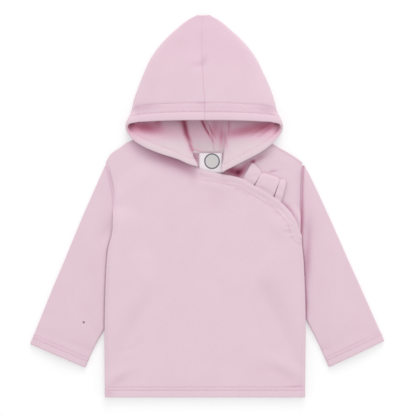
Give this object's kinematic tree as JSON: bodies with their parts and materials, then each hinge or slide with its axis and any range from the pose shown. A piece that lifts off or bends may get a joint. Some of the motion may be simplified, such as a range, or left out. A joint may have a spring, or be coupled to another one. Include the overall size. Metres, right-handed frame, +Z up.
{
  "type": "baby hooded wrap jacket laid flat",
  "caption": "Hooded fleece wrap jacket for a baby, laid flat on its back, with a curved wrap edge, ruffle tabs under it and plain hems.",
  "frame": {"origin": "on the underside of the back panel, on the body's middle line, 267 mm above the hem", "axes": "+Y from the hem towards the hood, +Z up off the surface it lies on, +X towards the wearer's left sleeve"},
  "size_m": [0.4952, 0.5349, 0.0287],
  "materials": {
    "fleece": "soft matt brushed fleece, pale pink",
    "label_satin": "white woven satin with a low sheen"
  },
  "bodies": {
    "root": {"back": "fleece", "front_under": "fleece", "front_wrap": "fleece", "sleeve_right": "fleece", "sleeve_left": "fleece", "hood_right": "fleece", "hood_left": "fleece", "ruffle_upper": "fleece", "ruffle_middle": "fleece", "ruffle_lower": "fleece", "neck_label": "label_satin"}
  },
  "joints": []
}
